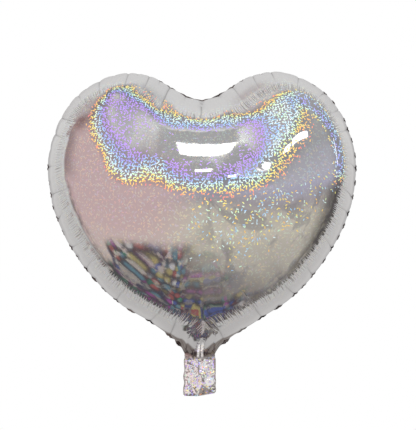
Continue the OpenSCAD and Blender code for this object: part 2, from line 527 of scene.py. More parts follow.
majors = np.concatenate([places(s_lo + 6, s_mid - 10, 42, 0.22), places(s_mid + 10, s_hi - 6, 42, 0.22)])
minors = []
ends = np.concatenate([[s_lo], majors, [s_hi]])
for a, b in zip(ends[:-1], ends[1:]):
    k = max(0, int(round((b - a) / 20)) - 1)
    for i in range(k):
        minors.append(a + (b - a) * (i + 1) / (k + 1) + rng.uniform(-2, 2))
minors = np.array(minors)


def note(lines, off, weight):
    """keeps the nearest sharp crease: its signed distance and its strength"""
    m = (np.abs(off) < np.abs(lines[0])) & (weight > 0.02)
    lines[0][m] = off[m]
    lines[1][m] = (weight * smooth_step((9 - np.abs(off)) / 3))[m]


def pinch_field(seed, lines):
    """how far each point of a panel is drawn in, in mm (positive is inward)"""
    r = np.random.default_rng(seed)
    out = np.zeros(len(P))
    for k in majors:
        depth, reach, bend = r.uniform(1.3, 2.2), r.uniform(34, 66), r.uniform(-0.12, 0.12)
        at = k + bend * D * (0.4 + D / 60)
        off = S - at
        w = 2.2 + 0.12 * D
        out += depth * np.exp(-np.abs(off) / w) * np.exp(-(D / reach) ** 2) * (0.40 + 0.60 * np.exp(-D / 12))
        note(lines, off, r.uniform(0.6, 1.0) * np.exp(-(D / (reach * 0.85)) ** 4))
    for k in minors:
        depth, reach, bend = r.uniform(0.8, 1.5), r.uniform(8, 16), r.uniform(-0.15, 0.15)
        off = S - k - bend * D
        w = 2.4 + 0.1 * D
        out += depth * np.exp(-np.abs(off) / w) * np.exp(-(D / reach) ** 2)
        note(lines, off, r.uniform(0.2, 0.7) * np.exp(-(D / (reach * 0.8)) ** 4))
    # fine puckers all along the gathered band
    fine = places(s_lo, s_hi, 7.2, 0.3)
    ph = np.interp(S, fine, np.arange(len(fine)))
    u = np.abs(ph - np.round(ph)) * 2                    # 0 on a pucker, 1 between two
    tall = np.interp(S, fine, r.uniform(0.35, 1.25, len(fine)))
    out += 0.16 * tall * (1 - u ** 0.8) * smooth_step(D / 7) * (1 - smooth_step((D - 22) / 30))
    # between pinches the film pillows out past the weld, and hides it
    out -= 1.7 * (D / 4.0) * np.exp(1 - D / 4.0)
    return out


def vertex_normals(X, F):
    n = np.cross(X[F[:, 1]] - X[F[:, 0]], X[F[:, 2]] - X[F[:, 0]])
    out = np.stack([np.bincount(F.ravel(), np.repeat(n[:, k], 3), len(X)) for k in range(3)], 1)
    return out / np.maximum(np.linalg.norm(out, axis=1), 1e-9)[:, None]


NF = vertex_normals(panels[0], TRI)
NB = vertex_normals(panels[1], TRI[:, ::-1])
mid_n = NF[:SHARED] + NB[:SHARED]
mid_n[:, 1] = 0
mid_n = curve_smooth(mid_n, 6, STEP, np.zeros(SHARED))
mid_n /= np.linalg.norm(mid_n, axis=1)[:, None]
for N_ in (NF, NB):
    # near the weld both panels move with it, along the rim's own plane
    i = np.clip(np.searchsorted(rim_s, S), 0, SHARED - 1)
    w = smooth_step(1 - D / 6)[:, None]
    N_[:] = N_ * (1 - w) + mid_n[i] * w
    N_ /= np.linalg.norm(N_, axis=1)[:, None]

up = smooth_step((P[:, 1] - 6) / 22)                                # none on the tail
mirror_line = smooth_step((np.abs(P[:, 0]) - 2) / 14) + smooth_step((P[:, 1] - 90) / 30)
mirror_line = np.clip(mirror_line, 0, 1)
cleft_p = np.array([0.0, 350.0])


def fan(field, lines, at, ang, width, depth, reach, sharp=0.8, start=0.0, spread=1.0):
    """a crease that runs from a point of the cut in one direction"""
    v = P - at
    d = np.array([math.sin(math.radians(ang)), -math.cos(math.radians(ang))])
    along = v @ d
    across = v[:, 0] * d[1] - v[:, 1] * d[0]
    run = np.clip(along, 0, None) / reach
    w = width * (0.5 + spread * run)
    field += depth * np.exp(-np.abs(across) / w) * smooth_step((along - start) / 4) * np.exp(-run ** 2)
    note(lines, across, sharp * smooth_step((along - start) / 3) * np.exp(-run ** 4))


rim_pinch = None
LINES = []
# below the cleft the film is stretched level from lobe to lobe
for X in panels:
    put = np.clip((108 - np.abs(X[:, 0])) / 50, 0, 1) * np.clip((X[:, 2] - 150) / 40, 0, 1) * np.clip((D - 50) / 16, 0, 1)
    put *= np.clip((285 + 0.0016 * X[:, 0] ** 2 - X[:, 2]) / 16, 0, 1)
    i = np.flatnonzero((put > 0) & (P[:, 1] > 100))
    j = np.flatnonzero((X[:, 2] > 120) & (D > 34))
    level = np.empty(len(i))
    for k in range(0, len(i), 512):
        a = i[k:k + 512]
        dx, dz = X[a, 0][:, None] - X[j, 0], X[a, 2][:, None] - X[j, 2]
        # follow the rise of the lobes while averaging, so that only the ripples go
        K = np.exp(-(dx / 26) ** 2 - ((dz + 0.0022 * (X[j, 0] ** 2 - X[a, 0][:, None] ** 2)) / 6) ** 2)
        level[k:k + 512] = (K @ X[j, 1]) / K.sum(1)
    X[i, 1] += (level - X[i, 1]) * smooth_step(put[i])

# and stands out in a shoulder where the gathered band ends
for X, sgn in ((panels[0], -1), (panels[1], 1)):
    by = np.clip((150 - np.hypot(P[:, 0], P[:, 1] - 345)) / 70, 0, 1)
    X[:, 1] += sgn * 3.0 * by * by * (3 - 2 * by) * np.exp(-((D - 56) / 24) ** 2)
    # the film under the cleft is itself slightly rounded from side to side
    across = np.abs(X[:, 0] - 3) / 52
    round_ = np.where(across < 1, across ** 2, 1.0) * smooth_step((110 - np.abs(X[:, 0])) / 48)
    X[:, 1] -= sgn * 3.0 * round_ * smooth_step((X[:, 2] - 190) / 34) * smooth_step((292 - X[:, 2]) / 26) * smooth_step((D - 30) / 26)
    # to either side of it the film turns a little more to the front before the lobes rise
    for cx, amount in ((-60, 1.3), (60, 1.1)):
        t = (X[:, 2] - 261) / 20
        X[:, 1] += sgn * amount * t * np.exp(-t * t) * np.exp(-((X[:, 0] - cx) / 20) ** 2) * smooth_step((D - 26) / 20)
    # it falls away towards the left lobe, and is rounded off where it meets the shoulder
    fall = smooth_step((-38 - X[:, 0]) / 42) * smooth_step((X[:, 0] + 155) / 75)
    fall *= smooth_step((X[:, 2] - 178) / 62) * smooth_step((308 - X[:, 2]) / 24) * smooth_step((D - 28) / 28)
    X[:, 1] -= sgn * 3.6 * fall
    t = np.clip(X[:, 2] - 243, 0, 26)
    k = (0.0019 + 0.0016 * ((X[:, 0] - 3) / 40) ** 2) * np.exp(-((X[:, 0] - 3) / 52) ** 4)
    X[:, 1] -= sgn * k * t * t * smooth_step((D - 24) / 18)
    # the gathered neck opens out steeply
    X[:, 1] += sgn * 6.0 * np.exp(-((X[:, 2] - 25) / 15) ** 2) * np.exp(-(X[:, 0] / 24) ** 2) * smooth_step((X[:, 2] - 2) / 10)
NF0 = vertex_normals(panels[0], TRI)
for which, (X, N_) in enumerate(((panels[0], NF), (panels[1], NB))):
    lines = [np.full(len(P), 60.0), np.zeros(len(P))]
    f = pinch_field(21 + which, lines)
    near_w = pinch_field(21, [np.full(len(P), 60.0), np.zeros(len(P))])   # the weld is one line: both panels share its notches
    share = smooth_step(1 - D / 5)
    f = f * (1 - share) + near_w * share
    f *= up * mirror_line
    lines[1] *= up * mirror_line
    if which == 0:
        fans = ((0.5, 2.6, 2.8, 44, 1.0), (37, 2.6, 0.5, 30, 0.0), (-41, 2.6, 0.45, 28, 0.0))
    else:
        fans = ((-1.5, 2.6, 2.8, 42, 1.0), (33, 2.6, 0.5, 30, 0.0), (-36, 2.6, 0.5, 28, 0.0))
    for ang, w0, dep, rch, shp in fans:
        fan(f, lines, cleft_p, ang, w0, dep, rch, shp)
    # folds that fan out of the flat neck
    for x0, ang, w0, dep, rch in ((-11, -34, 3.0, 0.8, 34), (-3.6, -3, 1.5, 1.5, 30), (0.4, 0, 1.3, 2.4, 32),
                                  (4.0, 3, 1.5, 1.5, 30), (11.5, 33, 3.0, 0.8, 34)):
        fan(f, lines, np.array([x0, 1.0]), 180 - ang, w0 * 1.3, dep, rch, 0.5, 1.0, 1.2)
    # the film is a little slack away from the pressure's own curve
    slack = np.array([noise.noise((p[0] / 46 + 9 * which, p[1] / 46, 2.5)) for p in P])
    slack2 = np.array([noise.noise((p[0] / 17 + 5 * which, p[1] / 17, 7.5)) for p in P])
    f += up * (0.5 * slack * (1 - 0.6 * smooth_step(D / 120)) + 0.10 * slack2 * (1 - smooth_step((D - 30) / 50)))
    LINES.append(lines)
    if which == 0:
        rim_pinch = f[:SHARED].copy()
    else:
        share0 = smooth_step(1 - D / 4)
        f = f * (1 - share0) + (rim_pinch[np.clip(np.searchsorted(rim_s, S), 0, SHARED - 1)]) * share0
    X -= N_ * f[:, None]

# the weld itself wanders fore and aft
every = np.sort(np.concatenate([majors, minors]))
wave = np.zeros(SHARED)
for i, k in enumerate(every):
    wave += (1 if i % 2 else -1) * rng.uniform(0.7, 1.7) * np.exp(-(np.abs(rim_s - k) / 7.5) ** 1.4)
wave *= smooth_step((rim_z - 8) / 18)
idx = np.clip(np.searchsorted(rim_s, S), 0, SHARED - 1)
for X in panels:
    X[:, 1] += wave[idx] * np.exp(-(D / 7.0) ** 1.3) * (D < 40)

# ---------------------------------------------------------------- the tail
xz = P[:, 1] < 0.5


def ridge(x, z, k):
    n = noise.noise((x / 7.5 + k, z / 7.5, k * 0.37))
    m = noise.noise((x / 3.4 - k, z / 3.4, k * 0.71))
    return (1 - abs(n) * 3.2) * 0.55 + (1 - abs(m) * 3.2) * 0.22


for which, X in enumerate(panels):
    sgn = -1 if which == 0 else 1
    crumple = np.array([ridge(p[0], p[1], 3.1 + 0 * which) if -TAIL - 1 < p[1] < 26 else 0.0 for p in P])
    own = np.array([ridge(p[0], p[1], 13.1 + 7 * which) if -TAIL - 1 < p[1] < 26 else 0.0 for p in P])
    w = smooth_step((14 - P[:, 1]) / 16)
    edge = smooth_step(D / 4)
    bow = 0.9 * np.sin(P[:, 1] / 9.0 + 0.6) + 0.5 * np.sin(P[:, 0] / 6.0 + P[:, 1] / 14.0)
    crease = smooth_step(np.abs(P[:, 1]) / 5)
    X[:, 1] += w * crease * (1.7 * crumple + 0.8 * bow) * smooth_step((-P[:, 1] + 4) / 8)
    X[:, 1] += sgn * w * edge * (0.45 + 0.55 * np.abs(own)) * (P[:, 1] < 12)
    wob = np.array([noise.noise((2.2, p[1] / 8.0, 5.5 + (p[0] > 0))) for p in P])
    X[:, 0] += w * wob * 1.1 * (np.abs(P[:, 0]) / 17.5) * smooth_step((-P[:, 1] + 2) / 6)
    # the lower right corner is turned back, with both films
    a, b = np.array([-4.5, -45.0]), np.array([17.5, -29.0])
    e = (b - a) / np.linalg.norm(b - a)
    out = -((P[:, 0] - a[0]) * -e[1] + (P[:, 1] - a[1]) * e[0])
    out = np.where((P[:, 1] < -20), np.clip(out, 0, None), 0)
    ang = math.radians(34) * smooth_step(out / 2.2)
    n2 = np.array([e[1], -e[0]])
    X[:, 0] += -n2[0] * out * (1 - np.cos(ang))
    X[:, 2] += -n2[1] * out * (1 - np.cos(ang))
    X[:, 1] += out * np.sin(ang)

# the neck and tail hang a little to one side
for X in panels:
    X[:, 0] -= 4.5 * smooth_step((46 - X[:, 2]) / 46)

# keep the two films apart in the neck and the tail
low = P[:, 1] < 60
m = (panels[0][:, 1] + panels[1][:, 1]) / 2
g = (panels[1][:, 1] - panels[0][:, 1]) / 2
least = 0.42 * smooth_step(D / 3) * low
g2 = np.maximum(g, least)
panels[0][:, 1] = np.where(low, m - g2, panels[0][:, 1])
panels[1][:, 1] = np.where(low, m + g2, panels[1][:, 1])
for X in panels:
    X[:SHARED, 1] = m[:SHARED]


# ---------------------------------------------------------------- objects
def link(name, verts, faces, mat, uv=None, more=None):
    me = bpy.data.meshes.new(name)
    me.from_pydata([tuple(v) for v in np.asarray(verts, float) * MM], [], [tuple(map(int, f)) for f in faces])
    me.validate()
    me.update()
    me.polygons.foreach_set("use_smooth", [True] * len(me.polygons))
    if uv is not None:
        layer = me.uv_layers.new(name="film")
        loops = np.zeros(len(me.loops), np.int32)
        me.loops.foreach_get("vertex_index", loops)
        layer.data.foreach_set("uv", np.asarray(uv, np.float32)[loops].ravel())
        for k, v in (more or {}).items():
            me.uv_layers.new(name=k).data.foreach_set("uv", np.asarray(v, np.float32)[loops].ravel())
    me.materials.append(mat)
    ob = bpy.data.objects.new(name, me)
    bpy.context.scene.collection.objects.link(ob)
    return ob


def nodes_of(mat):
    mat.use_nodes = True
    nt = mat.node_tree
    return nt, nt.nodes["Principled BSDF"]


class Graph:
    """short-hand for building node trees"""

    def __init__(s, tree):
        s.t = tree

    def add(s, kind, **props):
        n = s.t.nodes.new(kind)
        for k, v in props.items():
            setattr(n, k, v)
        return n

    def put(s, socket, value):
        if isinstance(value, bpy.types.NodeSocket):
            s.t.links.new(value, socket)
        elif value is not None:
            socket.default_value = value

    def math(s, op, a, b=None, c=None, clamp=False):
        n = s.add("ShaderNodeMath", operation=op, use_clamp=clamp)
        for k, v in zip(n.inputs, (a, b, c)):
            s.put(k, v)
        return n.outputs[0]

    def vec(s, op, a, b=None, scale=None):
        n = s.add("ShaderNodeVectorMath", operation=op)
        s.put(n.inputs[0], a)
        if b is not None:
            s.put(n.inputs[1], b)
        if scale is not None:
            s.put(n.inputs["Scale"], scale)
        return n.outputs["Value"] if op in ("DOT_PRODUCT", "LENGTH", "DISTANCE") else n.outputs["Vector"]

    def ramp(s, fac, stops, mode="LINEAR"):
        n = s.add("ShaderNodeValToRGB")
        n.color_ramp.interpolation = mode
        el = n.color_ramp.elements
        while len(el) < len(stops):
            el.new(0.5)
        for e, (p, c) in zip(el, stops):
            e.position = p
            e.color = (*c, 1) if len(c) == 3 else c
        s.put(n.inputs[0], fac)
        return n.outputs[0]

    def mix(s, fac, a, b, kind="RGBA", blend="MIX"):
        n = s.add("ShaderNodeMix", data_type=kind)
        if kind == "RGBA":
            n.blend_type = blend
            s.put(n.inputs[0], fac)
            s.put(n.inputs[6], a)
            s.put(n.inputs[7], b)
            return n.outputs[2]
        s.put(n.inputs[0], fac)
        s.put(n.inputs[2], a)
        s.put(n.inputs[3], b)
        return n.outputs[0]

    def remap(s, v, a, b, c, d):
        n = s.add("ShaderNodeMapRange", clamp=True, interpolation_type="SMOOTHSTEP")
        for k, x in zip(n.inputs, (v, a, b, c, d)):
            s.put(k, x)
        return n.outputs[0]


HALF = Vector((0.06, -0.865, 0.50)).normalized()         # the way the film faces at the middle of the rainbow, a painted reflection fixed to this direction


def foil(name):
    """metallised film with an embossed holographic pattern of short dashes; the rainbow in them is a painted
    reflection, centred on a fixed direction
    """
    mat = bpy.data.materials.new(name)
    nt, bsdf = nodes_of(mat)
    g = Graph(nt)
    uv = g.add("ShaderNodeUVMap", uv_map="film").outputs[0]
    face = g.add("ShaderNodeSeparateXYZ")
    g.put(face.inputs[0], g.add("ShaderNodeTexCoord").outputs["Normal"])
    both = g.add("ShaderNodeCombineXYZ")                 # the back panel is embossed like the front
    g.put(both.inputs[0], face.outputs[0])
    g.put(both.inputs[1], g.math("MULTIPLY", g.math("ABSOLUTE", face.outputs[1]), -1.0))
    g.put(both.inputs[2], face.outputs[2])
    facing = both.outputs[0]
    mm = g.vec("SCALE", uv, scale=500.0)                 # millimetres of flat film
    cut = g.add("ShaderNodeSeparateXYZ")
    g.put(cut.inputs[0], mm)
    on_tail = g.remap(cut.outputs[1], 256.0, 246.0, 0.0, 1.0)

    def dashes(pitch, long, wide, seed):
        p = g.vec("SCALE", g.vec("ADD", mm, (seed * 13.7, seed * 7.1, 0)), scale=1.0 / pitch)
        v = g.add("ShaderNodeTexVoronoi", voronoi_dimensions="2D", feature="F1")
        g.put(v.inputs["Vector"], p)
        v.inputs["Scale"].default_value = 1.0
        v.inputs["Randomness"].default_value = 0.8
        local = g.vec("SUBTRACT", p, v.outputs["Position"])
        sep = g.add("ShaderNodeSeparateColor")
        g.put(sep.inputs[0], v.outputs["Color"])
        rot = g.add("ShaderNodeVectorRotate", rotation_type="Z_AXIS")
        g.put(rot.inputs["Vector"], local)
        g.put(rot.inputs["Angle"], g.math("MULTIPLY", sep.outputs[0], math.pi))
        xyz = g.add("ShaderNodeSeparateXYZ")
        g.put(xyz.inputs[0], rot.outputs[0])
        a = g.remap(g.math("ABSOLUTE", xyz.outputs[0]), long / 2 / pitch, long / 2 / pitch * 0.8, 0.0, 1.0)
        b = g.remap(g.math("ABSOLUTE", xyz.outputs[1]), wide / 2 / pitch, wide / 2 / pitch * 0.6, 0.0, 1.0)
        return g.math("MULTIPLY", a, b), sep.outputs[1], sep.outputs[2], sep.outputs[0]

    m1, r1, q1, t1 = dashes(3.2, 3.0, 1.32, 1)
    m2, r2, q2, t2 = dashes(3.6, 2.8, 1.25, 2)
    # how far the film is turned, in degrees, from where the painted rainbow reflection is centred
    deg = g.math("MULTIPLY", g.math("ARCCOSINE", g.vec("DOT_PRODUCT", facing, tuple(HALF))), 180 / math.pi)
    spectrum = [(0.00, (0.55, 0.34, 0.97)), (0.30, (0.52, 0.30, 1.00)), (0.42, (0.38, 0.38, 1.00)),
                (0.53, (0.36, 0.72, 1.00)), (0.62, (0.80, 0.98, 1.00)), (0.70, (0.60, 1.00, 0.66)),
                (0.77, (1.00, 0.94, 0.22)), (0.87, (1.00, 0.62, 0.14)), (0.95, (1.00, 0.32, 0.18)), (1.00, (0.85, 0.22, 0.24))]

    sd = g.add("ShaderNodeSeparateXYZ")
    g.put(sd.inputs[0], g.add("ShaderNodeUVMap", uv_map="gather").outputs[0])
    s_mm, d_mm = g.math("MULTIPLY", sd.outputs[0], 1000.0), g.math("MULTIPLY", sd.outputs[1], 1000.0)
    # over the gathered band the painted rainbow is shifted further
    deg = g.math("ADD", deg, g.remap(d_mm, 34.0, 62.0, 17.0, 0.0))
    # and so it is over the left lobe's outer slope
    deg = g.math("ADD", deg, g.math("MULTIPLY", g.remap(face.outputs[0], -0.10, -0.32, 0.0, 11.5), g.remap(face.outputs[2], 0.72, 0.48, 0.0, 1.0)))
    # on the right it is shifted from the edge of the level patch on
    base_deg = deg
    frm, to = g.remap(cut.outputs[1], 495.0, 540.0, 285.0, 318.0), g.remap(cut.outputs[1], 495.0, 540.0, 340.0, 372.0)
    deg = g.math("ADD", deg, g.math("MULTIPLY", g.remap(cut.outputs[0], frm, to, 0.0, 1.0), g.remap(cut.outputs[1], 495.0, 540.0, 10.5, 17.0)))
    ring = g.math("MULTIPLY", g.remap(deg, 3.0, 12.0, 0.25, 1.0), g.remap(deg, 28.0, 37.0, 1.0, 0.0))
    ring = g.math("MULTIPLY", ring, g.remap(d_mm, 28.0, 35.0, 0.0, 1.0))
    # a second, narrow run of it follows the gathered band over the right lobe
    run = g.math("MULTIPLY", g.math("MULTIPLY", g.remap(d_mm, 42.0, 50.0, 0.0, 1.0), g.remap(d_mm, 76.0, 60.0, 0.0, 1.0)),
                 g.math("MULTIPLY", g.remap(cut.outputs[0], 362.0, 380.0, 0.0, 1.0), g.remap(cut.outputs[1], 440.0, 485.0, 0.0, 1.0)))
    ring = g.math("MAXIMUM", ring, g.math("MULTIPLY", run, 0.58))
    deg = g.mix(run, deg, g.remap(d_mm, 46.0, 70.0, 19.5, 13.0), kind="FLOAT")
    # it thins out slowly downwards on the right
    thin = g.math("MULTIPLY", g.remap(base_deg, 30.0, 58.0, 0.40, 0.0), g.math("MULTIPLY", g.remap(face.outputs[0], -0.12, 0.08, 0.0, 1.0), g.remap(face.outputs[2], 0.10, -0.10, 0.0, 1.0)))
    ring = g.math("MAXIMUM", ring, g.math("MULTIPLY", thin, g.remap(d_mm, 34.0, 60.0, 0.0, 1.0)))
    # the patch under the cleft is plain
    du = g.math("DIVIDE", g.math("SUBTRACT", cut.outputs[0], 238.0), 66.0)
    dv = g.math("DIVIDE", g.math("SUBTRACT", cut.outputs[1], 520.0), g.remap(cut.outputs[1], 519.0, 521.0, 24.0, 48.0))
    plain = g.remap(g.math("ADD", g.math("MULTIPLY", du, du), g.math("MULTIPLY", dv, dv)), 0.55, 1.35, 1.0, 0.0)
    plain = g.math("MULTIPLY", plain, g.remap(d_mm, 60.0, 68.0, 0.0, 1.0))
    ring = g.math("MULTIPLY", ring, g.math("MULTIPLY_ADD", plain, -0.92, 1.0))
    du = g.math("DIVIDE", g.math("SUBTRACT", cut.outputs[0], 251.0), 19.0)
    dv = g.math("DIVIDE", g.math("SUBTRACT", cut.outputs[1], 489.0), 9.0)
    clear = g.remap(g.math("ADD", g.math("MULTIPLY", du, du), g.math("MULTIPLY", dv, dv)), 0.5, 1.3, 1.0, 0.0)
    # and so are two small patches that lie level towards the right lobe
    for cu, cv, ru, rv in ((324.0, 491.0, 14.0, 7.0), (364.0, 517.0, 17.0, 8.0)):
        du = g.math("DIVIDE", g.math("SUBTRACT", cut.outputs[0], cu), ru)
        dv = g.math("SUBTRACT", g.math("DIVIDE", g.math("SUBTRACT", cut.outputs[1], cv), rv), g.math("MULTIPLY", du, 0.55))
        clear = g.math("MAXIMUM", clear, g.remap(g.math("ADD", g.math("MULTIPLY", du, du), g.math("MULTIPLY", dv, dv)), 0.5, 1.3, 1.0, 0.0))
    ring = g.math("MULTIPLY", ring, g.math("MULTIPLY_ADD", clear, -0.6, 1.0))
    ring = g.math("MAXIMUM", ring, g.math("MULTIPLY", on_tail, 0.46))

    def coloured(rand, most):
        d = g.math("ADD", deg, g.math("MULTIPLY_ADD", rand, most, -most / 2))
        d = g.mix(g.remap(deg, 34.0, 38.0, 0.0, 1.0), d, g.math("MULTIPLY_ADD", rand, 14.0, 18.0), kind="FLOAT")
        d = g.mix(on_tail, d, g.math("MULTIPLY_ADD", rand, 32.0, 2.0), kind="FLOAT")
        return g.ramp(g.math("DIVIDE", d, 36.0, clamp=True), spectrum)

    c1, c2 = coloured(r1, 6.0), coloured(r2, 6.0)
    # each dash is painted lit only if it stands for one turned the right way, a painted reflection; fewer are lit near
    # the ring's two edges
    lit = g.math("MULTIPLY_ADD", ring, -0.94, 1.02)
    on1 = g.math("MULTIPLY", m1, g.math("GREATER_THAN", q1, lit))
    on2 = g.math("MULTIPLY", m2, g.math("GREATER_THAN", q2, lit))
    # faint ones everywhere else
    any1 = g.math("MULTIPLY", m1, g.remap(q1, 0.2, 0.9, 0.0, 1.0))
    any2 = g.math("MULTIPLY", m2, g.remap(q2, 0.2, 0.9, 0.0, 1.0))
    hue = g.ramp(r1, [(0.0, (0.86, 0.74, 1.00)), (0.25, (0.72, 0.92, 1.00)), (0.5, (0.84, 1.00, 0.84)),
                      (0.75, (1.00, 0.97, 0.70)), (1.0, (1.00, 0.78, 0.74))])
    near_ring = g.math("MULTIPLY", g.remap(deg, 30.0, 80.0, 1.0, 0.55), g.remap(d_mm, 20.0, 44.0, 0.12, 1.0))
    col = g.mix(g.math("MULTIPLY", g.math("MAXIMUM", any1, any2), g.math("MULTIPLY", near_ring, 0.8)), (0.66, 0.655, 0.665, 1), hue)
    shade = g.math("MULTIPLY", ring, g.remap(d_mm, 50.0, 80.0, 0.85, 0.42))
    col = g.mix(shade, col, (0.27, 0.26, 0.30, 1))
    col = g.mix(g.math("MULTIPLY", on2, 0.95), col, c2)
    col = g.mix(g.math("MULTIPLY", on1, 0.95), col, c1)
    off = g.add("ShaderNodeSeparateXYZ")
    g.put(off.inputs[0], g.add("ShaderNodeUVMap", uv_map="crease").outputs[0])
    line = g.math("ABSOLUTE", g.math("MULTIPLY_ADD", off.outputs[0], 100.0, -50.0))
    crease_relief_and_shade = g.math("MULTIPLY", g.math("EXPONENT", g.math("MULTIPLY", line, -1.15)), off.outputs[1])
    # painted shade: the crease lines are painted dark; the same mask also sinks them in the relief below
    col = g.mix(g.math("MULTIPLY", crease_relief_and_shade, 0.75, clamp=True), col, (0.16, 0.155, 0.16, 1))
    vary = g.add("ShaderNodeTexNoise", noise_dimensions="1D")
    g.put(vary.inputs["W"], s_mm)
    vary.inputs["Scale"].default_value = 0.11
    vary.inputs["Detail"].default_value = 2
    teeth = g.math("ABSOLUTE", g.math("SINE", g.math("ADD", g.math("MULTIPLY", s_mm, math.pi / 3.2), g.math("MULTIPLY", vary.outputs[0], 9.0))))
    teeth = g.math("POWER", teeth, 0.6)
    tall = g.math("MULTIPLY", g.remap(d_mm, 35.0, 43.0, 0.0, 1.0), g.remap(d_mm, 46.0, 56.0, 1.0, 0.0))
    tall = g.math("MULTIPLY", tall, g.remap(vary.outputs[0], 0.3, 0.62, 0.45, 1.0))
    # painted shade in the grooves between the fine puckers of the gathered band
    tooth_shade = g.math("MULTIPLY", g.remap(teeth, 0.2, 0.75, 1.0, 0.0), tall)
    col = g.mix(g.math("MULTIPLY", tooth_shade, 0.62, clamp=True), col, (0.20, 0.165, 0.15, 1))
    # painted shade: the doubled film along the neck's sides is painted dark brown
    reach = g.remap(cut.outputs[1], 250.0, 312.0, 19.0, 3.0)
    neck_side_shade = g.remap(g.math("SUBTRACT", d_mm, reach), -3.0, 2.5, 1.0, 0.0)
    neck_side_shade = g.math("MULTIPLY", neck_side_shade, g.math("MULTIPLY", g.remap(cut.outputs[1], 247.0, 253.0, 0.0, 1.0), g.remap(cut.outputs[1], 292.0, 312.0, 1.0, 0.0)))
    col = g.mix(g.math("MULTIPLY", neck_side_shade, 0.90), col, (0.19, 0.155, 0.14, 1))
    # painted highlight: two near-white lines down the neck's folds, which also glow
    pleat_highlight = g.math("ABSOLUTE", g.math("SUBTRACT", cut.outputs[0], 250.4))
    pleat_highlight = g.math("MULTIPLY", g.math("MULTIPLY", g.remap(pleat_highlight, 3.2, 4.6, 1.0, 0.0), g.remap(pleat_highlight, 0.4, 1.2, 0.0, 1.0)),
                   g.math("MULTIPLY", g.remap(cut.outputs[1], 249.0, 253.0, 0.0, 1.0), g.remap(cut.outputs[1], 268.0, 280.0, 1.0, 0.0)))
    col = g.mix(g.math("MULTIPLY", pleat_highlight, 0.9), col, (0.99, 0.98, 0.96, 1))
    # the flattened tail: painted highlights on its crumpled facets, painted shade in its folds, at its turned corner
    # and along its lower edge
    facet = g.add("ShaderNodeTexNoise")
    g.put(facet.inputs["Vector"], mm)
    facet.inputs["Scale"].default_value = 0.17
    facet.inputs["Detail"].default_value = 3
    facet.inputs["Distortion"].default_value = 1.6
    tail_glint_and_shade = g.ramp(facet.outputs[0], [(0.36, (0.26, 0.235, 0.22)), (0.42, (0.62, 0.61, 0.60)), (0.50, (0.96, 0.96, 0.95)), (0.60, (1.0, 1.0, 0.98)), (0.64, (0.50, 0.47, 0.45))])
    tail_glint = g.remap(facet.outputs[0], 0.47, 0.53, 0.0, 1.0)
    tip = g.math("MINIMUM", g.math("SUBTRACT", g.math("SUBTRACT", cut.outputs[0], 247.7), g.math("MULTIPLY", g.math("SUBTRACT", cut.outputs[1], 205.9), 0.31)),
                 g.math("SUBTRACT", g.math("SUBTRACT", 219.8, cut.outputs[1]), g.math("MULTIPLY", g.math("SUBTRACT", cut.outputs[0], 252.0), 0.84)))
    turned = g.remap(tip, -0.3, 0.8, 0.0, 1.0)
    # and a painted shade line along the tail's seam
    seam = g.math("MULTIPLY", g.remap(g.math("ABSOLUTE", g.math("SUBTRACT", cut.outputs[0], 248.6)), 0.5, 1.3, 1.0, 0.0), g.remap(cut.outputs[1], 226.0, 234.0, 0.0, 0.8))
    turned = g.math("MAXIMUM", turned, g.math("MULTIPLY", seam, g.remap(cut.outputs[1], 252.0, 249.0, 0.0, 1.0)))
    # a painted highlight: a white spot on the tail, except on the turned corner
    flash = g.vec("DISTANCE", mm, (261.5, 222.0, 0.0))
    flash = g.math("MULTIPLY", g.remap(flash, 6.5, 4.0, 0.0, 1.0), g.math("SUBTRACT", 1.0, turned))
    tail_glint_and_shade = g.mix(flash, tail_glint_and_shade, (1.0, 1.0, 1.0, 1))
    tail_glint = g.math("MAXIMUM", tail_glint, flash)
    low_edge_shade = g.remap(g.math("MULTIPLY_ADD", facet.outputs[0], 8.0, cut.outputs[1]), 213.5, 210.5, 0.0, 1.0)
    tail_glint_and_shade = g.mix(g.math("MULTIPLY", g.math("MAXIMUM", turned, low_edge_shade), 0.85), tail_glint_and_shade, (0.21, 0.175, 0.16, 1))
    bare = g.math("MULTIPLY", on_tail, g.math("SUBTRACT", 1.0, g.math("MULTIPLY", g.math("MAXIMUM", on1, on2), 0.8)))
    col = g.mix(g.math("MULTIPLY", bare, 0.85), col, tail_glint_and_shade)
    g.put(bsdf.inputs["Base Color"], col)
    on = g.math("MAXIMUM", on1, on2)
    g.put(bsdf.inputs["Metallic"], g.math("MULTIPLY", g.math("MULTIPLY_ADD", on, -0.85, 1.0), g.math("MULTIPLY_ADD", on_tail, -0.45, 1.0)))
